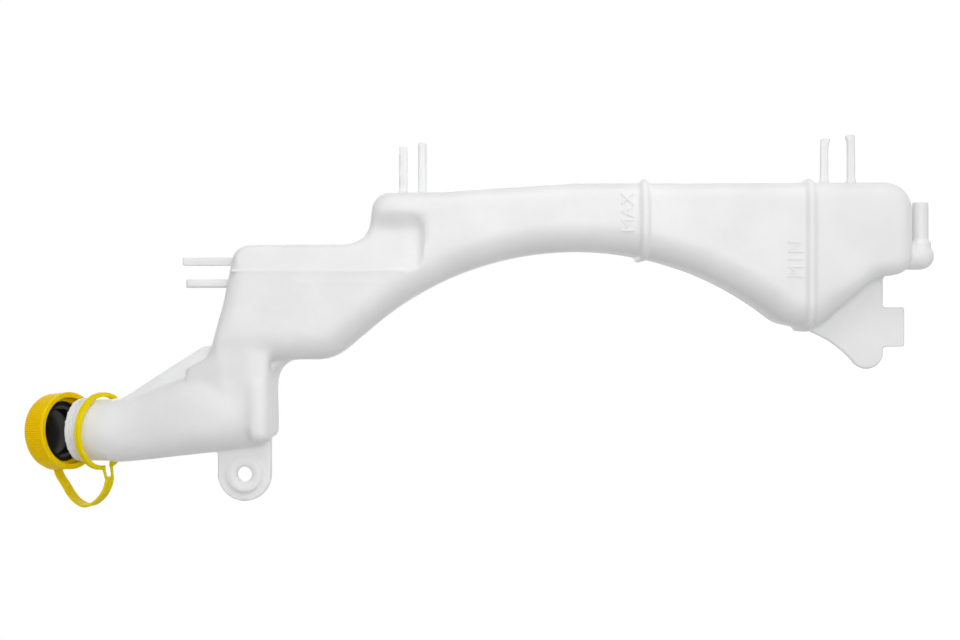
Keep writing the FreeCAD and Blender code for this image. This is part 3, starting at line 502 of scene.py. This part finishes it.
tetherBand = copyOfNode("cap_tether", "tetherBand")
capInverse = capPlace.inverted()
selectWhere(tetherBand, "vertices", onOwnStrap)
bpy.ops.mesh.delete(type="VERT")
bpy.ops.mesh.select_mode(type="EDGE")
bpy.ops.mesh.select_all(action="SELECT")
bpy.ops.mesh.fill_holes(sides=0)
editMode(False)
joinInto(tetherBand, strapEnd())
addModifier(tetherBand, "REMESH", mode="VOXEL", voxel_size=tether["voxel"])
addModifier(tetherBand, "SMOOTH", factor=0.5, iterations=tether["soften"])
thinTo(tetherBand, tether["triangles"])
dress(tetherBand, tetherPlastic, tether["sharpAngle"])
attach(tetherBand, "tether")
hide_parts("cap_tether")
print("tether made")

# The insert and the seal keep the CAD shape.
for node, material in (("cap_insert", blackPlastic), ("cap_seal", sealRubber)):
    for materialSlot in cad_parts[node].material_slots:
        materialSlot.material = material

# Stage, lamps and camera.
studio = {
    "floorZ": -0.475, "floorSize": 14, "fill": 0.45, "paper": 0.86, "glow": 0.65,
    "lamps": {
        "frontLamp": {"spot": (0.3, -1.4, -0.4), "aim": (0.1, 0, -0.25), "size": 0.9, "power": 9.3},
        "topLamp": {"spot": (1.1, -0.7, -0.35), "aim": (0.1, 0, -0.1), "size": 0.8, "power": 5.5},
        "endLamp": {"spot": (0.2, -0.6, -0.4), "aim": (0.13, 0, -0.42), "size": 0.2, "power": 0.12},
        "capLamp": {"spot": (0.05, -0.5, 0.4), "aim": (0.03, 0.02, 0.12), "size": 0.2, "power": 0.12},
        "backLamp": {"spot": (0.4, 1.5, 0.2), "aim": (0.1, 0, -0.17), "size": 1.2, "power": 6},
    },
    "camera": {  # in front of the tank, turned so that +X is up in the picture
        "spot": (0.1025, -1.15, -0.1567), "turn": ((0, 1, 0), (0, 0, -1), (-1, 0, 0)),
        "sensor": 36, "lens": 64.6875, "clip": (0.05, 30)},
}


def emptied(tree):
    tree.nodes.clear()
    return tree


def lightNode(tree, kind, **values):
    node = tree.nodes.new(kind)
    for key, value in values.items():
        node.inputs[key].default_value = value
    return node


# What the camera sees, also in a reflection or through something, beside what lights the scene.
def bySight(tree, lighting, seen, output):
    path = tree.nodes.new("ShaderNodeLightPath")
    either = path.outputs["Is Camera Ray"]
    for ray in ("Is Glossy Ray", "Is Transmission Ray"):
        larger = tree.nodes.new("ShaderNodeMath")
        larger.operation = "MAXIMUM"
        tree.links.new(either, larger.inputs[0])
        tree.links.new(path.outputs[ray], larger.inputs[1])
        either = larger.outputs[0]
    choose = tree.nodes.new("ShaderNodeMixShader")
    tree.links.new(either, choose.inputs["Fac"])
    tree.links.new(lighting.outputs[0], choose.inputs[1])
    tree.links.new(seen.outputs[0], choose.inputs[2])
    tree.links.new(choose.outputs[0], tree.nodes.new(output).inputs["Surface"])


bpy.ops.object.select_all(action="DESELECT")
bpy.ops.mesh.primitive_plane_add(size=studio["floorSize"], location=(0, 0, studio["floorZ"]))
floor = bpy.context.object
floor.name = "floor"
bpy.ops.object.transform_apply(location=True, rotation=True, scale=True)
floorMaterial = bpy.data.materials.new("floorPaper")
floorMaterial.use_nodes = True
tree = emptied(floorMaterial.node_tree)
paper = lightNode(tree, "ShaderNodeBsdfDiffuse", Color=(*[studio["paper"]] * 3, 1))
glow = lightNode(tree, "ShaderNodeEmission", Strength=studio["glow"])
brightPaper = tree.nodes.new("ShaderNodeAddShader")
tree.links.new(paper.outputs[0], brightPaper.inputs[0])
tree.links.new(glow.outputs[0], brightPaper.inputs[1])
bySight(tree, paper, brightPaper, "ShaderNodeOutputMaterial")
floor.data.materials.append(floorMaterial)

world = bpy.data.worlds.new("studio")
bpy.context.scene.world = world
world.use_nodes = True
tree = emptied(world.node_tree)
fill = lightNode(tree, "ShaderNodeBackground", Color=(1, 1, 1, 1), Strength=studio["fill"])
white = lightNode(tree, "ShaderNodeBackground", Color=(1, 1, 1, 1), Strength=1)
bySight(tree, fill, white, "ShaderNodeOutputWorld")

for name, lamp in studio["lamps"].items():
    light = bpy.data.lights.new(name, "AREA")
    light.shape = "DISK"
    light.size = lamp["size"]
    light.energy = lamp["power"]
    lampObject = newObject(name, light)
    lampObject.location = lamp["spot"]
    aim = Vector(lamp["aim"]) - Vector(lamp["spot"])
    lampObject.rotation_euler = aim.to_track_quat("-Z", "Y").to_euler()

camera = newObject("camera", bpy.data.cameras.new("camera"))
camera.data.sensor_width = studio["camera"]["sensor"]
camera.data.lens = studio["camera"]["lens"]
camera.data.clip_start, camera.data.clip_end = studio["camera"]["clip"]
camera.matrix_world = (Matrix.Translation(studio["camera"]["spot"])
                       @ Matrix(studio["camera"]["turn"]).to_4x4())
bpy.context.scene.camera = camera
bpy.context.scene.view_settings.view_transform = "Standard"
print("stage, lamps and camera made")
